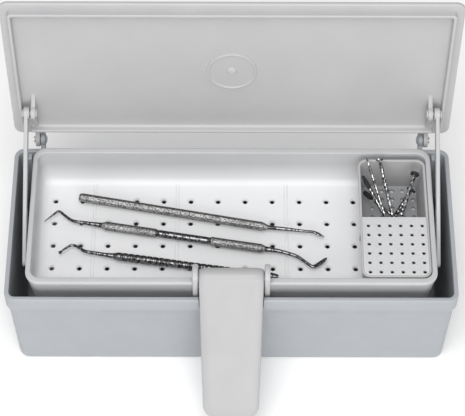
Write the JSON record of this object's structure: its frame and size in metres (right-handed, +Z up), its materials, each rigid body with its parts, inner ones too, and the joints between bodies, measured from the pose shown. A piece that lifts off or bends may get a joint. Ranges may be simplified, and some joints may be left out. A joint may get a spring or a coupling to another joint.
{
  "type": "dental instrument soaking box",
  "caption": "Rectangular soaking box with a hinged lid linked to a lifting perforated tray, a front lever paddle, a small bur basket and loose steel dental hand instruments.",
  "frame": {"origin": "centre of the box's flat base, on the table", "axes": "+X to the right along the box's length, +Y to the back towards the lid's hinge, +Z up"},
  "size_m": [0.2564, 0.1725, 0.1833],
  "materials": {
    "box_plastic": "satin moulded",
    "tray_plastic": "satin moulded",
    "steel": "satin",
    "black_abrasive": "dark abrasive"
  },
  "bodies": {
    "box": {"base_box": "box_plastic", "lid_hinge_pin_left": "steel", "lid_hinge_pin_right": "steel"},
    "lid_body": {"lid": "box_plastic", "link_pin_left": "box_plastic", "link_pin_right": "box_plastic"},
    "link_l": {"link_left": "box_plastic"},
    "link_r": {"link_right": "box_plastic"},
    "tray": {"instrument_tray": "tray_plastic", "lift_pin_left": "steel", "lift_pin_right": "steel", "lever_pin": "steel"},
    "lever_body": {"lever": "tray_plastic"},
    "basket": {"bur_basket": "tray_plastic"},
    "plate": {"bur_plate": "tray_plastic"},
    "burs": {"bur_thin": "steel", "bur_cone": "steel", "bur_fissure": "black_abrasive", "bur_round": "black_abrasive", "disc_mandrel": "steel", "disc_wheel": "black_abrasive", "stone_mandrel": "steel", "stone_wheel": "black_abrasive"},
    "excavator": {"excavator_handle": "steel", "excavator_tip": "steel"},
    "explorer": {"explorer_handle": "steel", "explorer_tip_left": "steel", "explorer_tip_right": "steel"},
    "probe": {"probe_handle": "steel", "probe_tip": "steel"}
  },
  "joints": [
    {"name": "lid_hinge", "type": "hinge", "parent": "box", "child": "lid_body", "pos_m": [0, 0.0585, 0.072], "axis": [-1, 0, 0], "range_deg": [-96.2, 0]},
    {"name": "tray_lift", "type": "slide", "parent": "box", "child": "tray", "axis": [0, 0, 1], "range_m": [-0.028, 0]},
    {"name": "lever_swing", "type": "hinge", "parent": "tray", "child": "lever_body", "pos_m": [0, -0.0425, 0.0821], "axis": [1, 0, 0], "range_deg": [-92.01, 0]},
    {"name": "link_left_swing", "type": "hinge", "parent": "lid_body", "child": "link_l", "pos_m": [0, 0.05548, 0.1025], "axis": [1, 0, 0], "range_deg": [-91.21, 0]},
    {"name": "link_right_swing", "type": "hinge", "parent": "lid_body", "child": "link_r", "pos_m": [0, 0.05548, 0.1025], "axis": [1, 0, 0], "range_deg": [-91.21, 0]},
    {"name": "basket_lift", "type": "slide", "parent": "tray", "child": "basket", "axis": [0, 0, 1], "range_m": [0, 0.03]},
    {"name": "plate_lift", "type": "slide", "parent": "basket", "child": "plate", "axis": [0, 0, 1], "range_m": [0, 0.012]},
    {"name": "burs_lift", "type": "slide", "parent": "basket", "child": "burs", "axis": [0, 0, 1], "range_m": [0, 0.03]},
    {"name": "excavator_lift", "type": "slide", "parent": "tray", "child": "excavator", "axis": [0, 0, 1], "range_m": [0, 0.04]},
    {"name": "explorer_lift", "type": "slide", "parent": "tray", "child": "explorer", "axis": [0, 0, 1], "range_m": [0, 0.04]},
    {"name": "probe_lift", "type": "slide", "parent": "tray", "child": "probe", "axis": [0, 0, 1], "range_m": [0, 0.04]}
  ],
  "couplings": [
    {"joint": "lid_hinge", "follows": "tray_lift", "rad_per_m": 59.964},
    {"joint": "lever_swing", "follows": "tray_lift", "rad_per_m": 57.346},
    {"joint": "link_left_swing", "follows": "tray_lift", "rad_per_m": 56.846},
    {"joint": "link_right_swing", "follows": "tray_lift", "rad_per_m": 56.846}
  ]
}
